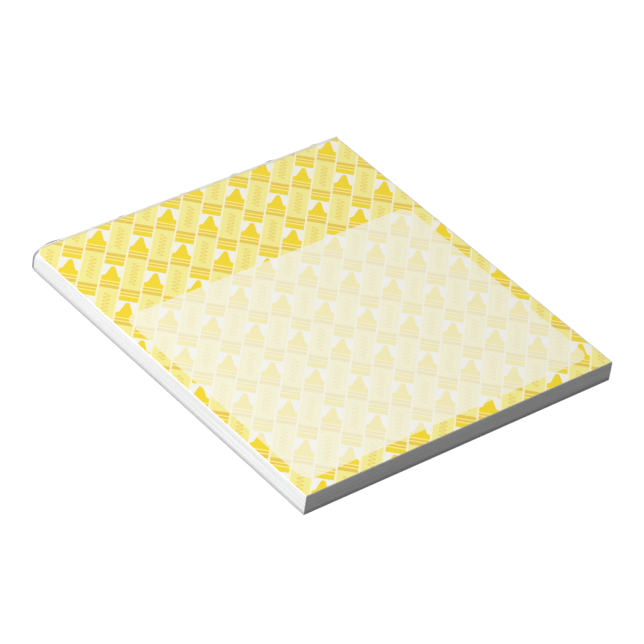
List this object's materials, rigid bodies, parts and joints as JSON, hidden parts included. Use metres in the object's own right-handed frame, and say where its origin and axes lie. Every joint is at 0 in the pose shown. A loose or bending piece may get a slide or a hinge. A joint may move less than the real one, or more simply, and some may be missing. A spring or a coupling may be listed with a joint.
{
  "type": "tear-off notepad",
  "caption": "Glue-bound tear-off notepad: printed sheets with a pale writing panel, on a grey chipboard back, that turn up about the glued top edge.",
  "frame": {"origin": "middle of the pad's underside, halfway between its foot and the outside of the glued spine", "axes": "+X across the page to the reader's right, +Y up the page from its foot to the glued spine, +Z out of the printed face; the pad rests on z = 0"},
  "size_m": [0.146, 0.16, 0.0085],
  "materials": {
    "printed_paper": "matte",
    "chipboard": "matte",
    "padding_glue": "satin"
  },
  "bodies": {
    "pad_block": {"backing_board": "chipboard", "glue_film": "padding_glue", "sheet_05": "printed_paper", "sheet_06": "printed_paper", "sheet_07": "printed_paper", "sheet_08": "printed_paper", "sheet_09": "printed_paper", "sheet_10": "printed_paper", "sheet_11": "printed_paper", "sheet_12": "printed_paper", "sheet_13": "printed_paper", "sheet_14": "printed_paper", "sheet_15": "printed_paper", "sheet_16": "printed_paper", "sheet_17": "printed_paper", "sheet_18": "printed_paper", "sheet_19": "printed_paper", "sheet_20": "printed_paper", "sheet_21": "printed_paper", "sheet_22": "printed_paper", "sheet_23": "printed_paper", "sheet_24": "printed_paper", "sheet_25": "printed_paper", "sheet_26": "printed_paper", "sheet_27": "printed_paper", "sheet_28": "printed_paper", "sheet_29": "printed_paper", "sheet_30": "printed_paper", "sheet_31": "printed_paper", "sheet_32": "printed_paper", "sheet_33": "printed_paper", "sheet_34": "printed_paper", "sheet_35": "printed_paper", "sheet_36": "printed_paper", "sheet_37": "printed_paper", "sheet_38": "printed_paper", "sheet_39": "printed_paper", "sheet_40": "printed_paper", "sheet_41": "printed_paper", "sheet_42": "printed_paper", "sheet_43": "printed_paper", "sheet_44": "printed_paper", "sheet_45": "printed_paper", "sheet_46": "printed_paper", "sheet_47": "printed_paper", "sheet_48": "printed_paper", "sheet_49": "printed_paper", "sheet_50": "printed_paper"},
    "leaf_04": {"sheet_04": "printed_paper"},
    "leaf_03": {"sheet_03": "printed_paper"},
    "leaf_02": {"sheet_02": "printed_paper"},
    "leaf_01": {"sheet_01": "printed_paper"}
  },
  "joints": [
    {"name": "turn_leaf_04", "type": "hinge", "parent": "pad_block", "child": "leaf_04", "pos_m": [0, 0.0787, 0.0085], "axis": [-1, 0, 0], "range_deg": [0, 10]},
    {"name": "turn_leaf_03", "type": "hinge", "parent": "leaf_04", "child": "leaf_03", "pos_m": [0, 0.0787, 0.0085], "axis": [-1, 0, 0], "range_deg": [0, 15]},
    {"name": "turn_leaf_02", "type": "hinge", "parent": "leaf_03", "child": "leaf_02", "pos_m": [0, 0.0787, 0.0085], "axis": [-1, 0, 0], "range_deg": [0, 30]},
    {"name": "turn_leaf_01", "type": "hinge", "parent": "leaf_02", "child": "leaf_01", "pos_m": [0, 0.0787, 0.0085], "axis": [-1, 0, 0], "range_deg": [0, 120]}
  ]
}
